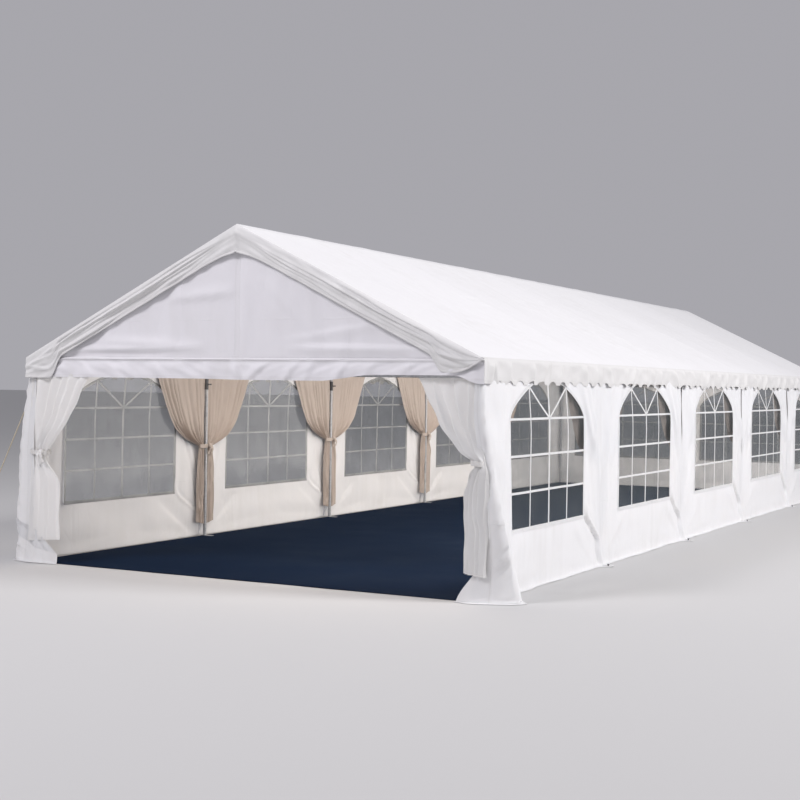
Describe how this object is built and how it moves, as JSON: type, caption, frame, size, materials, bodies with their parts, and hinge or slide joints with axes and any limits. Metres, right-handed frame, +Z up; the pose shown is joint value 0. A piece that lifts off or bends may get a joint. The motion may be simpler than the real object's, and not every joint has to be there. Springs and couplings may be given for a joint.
{
  "type": "marquee tent",
  "caption": "Long white frame tent with a straight ridge, church windows in its side walls, an open front with tied curtains, and matting inside.",
  "frame": {"origin": "the middle of the floor matting's underside, on the ground", "axes": "+X across the tent to its right side seen from the front, +Y along the ridge from the open front to the rear, +Z up"},
  "size_m": [6.3646, 15.3886, 3.36],
  "materials": {
    "galvanised_steel": "dull grey zinc coat on round tube",
    "roof_cloth": "white coated tent cloth, slight sheen",
    "wall_cloth": "white coated tent cloth, satin",
    "gable_cloth": "white coated tent cloth, satin",
    "clear_sheet": "clear flexible window sheet",
    "curtain_cloth": "white curtain cloth, matt",
    "swag_cloth": "cream lining cloth, matt",
    "carpet": "dark blue ribbed floor matting",
    "cord": "twisted natural cord"
  },
  "bodies": {
    "root": {"frame_front": "galvanised_steel", "frame_2": "galvanised_steel", "frame_3": "galvanised_steel", "frame_4": "galvanised_steel", "frame_5": "galvanised_steel", "frame_rear": "galvanised_steel", "ridge_tube": "galvanised_steel", "eave_tube_left": "galvanised_steel", "eave_tube_right": "galvanised_steel", "roof_cover": "roof_cloth", "gable_front": "gable_cloth", "gable_rear": "gable_cloth", "wall_left_1": "wall_cloth", "window_left_1": "clear_sheet", "wall_left_2": "wall_cloth", "window_left_2": "clear_sheet", "wall_left_3": "wall_cloth", "window_left_3": "clear_sheet", "wall_left_4": "wall_cloth", "window_left_4": "clear_sheet", "wall_left_5": "wall_cloth", "window_left_5": "clear_sheet", "swag_left_2": "swag_cloth", "swag_left_3": "swag_cloth", "swag_left_4": "swag_cloth", "swag_left_5": "swag_cloth", "wall_right_1": "wall_cloth", "window_right_1": "clear_sheet", "wall_right_2": "wall_cloth", "window_right_2": "clear_sheet", "wall_right_3": "wall_cloth", "window_right_3": "clear_sheet", "wall_right_4": "wall_cloth", "window_right_4": "clear_sheet", "wall_right_5": "wall_cloth", "window_right_5": "clear_sheet", "swag_right_2": "swag_cloth", "swag_right_3": "swag_cloth", "swag_right_4": "swag_cloth", "swag_right_5": "swag_cloth", "wall_rear": "wall_cloth", "window_rear_left": "clear_sheet", "window_rear_right": "clear_sheet", "curtain_front_left": "curtain_cloth", "curtain_front_right": "curtain_cloth", "floor_carpet": "carpet", "guy_rope": "cord"}
  },
  "joints": []
}
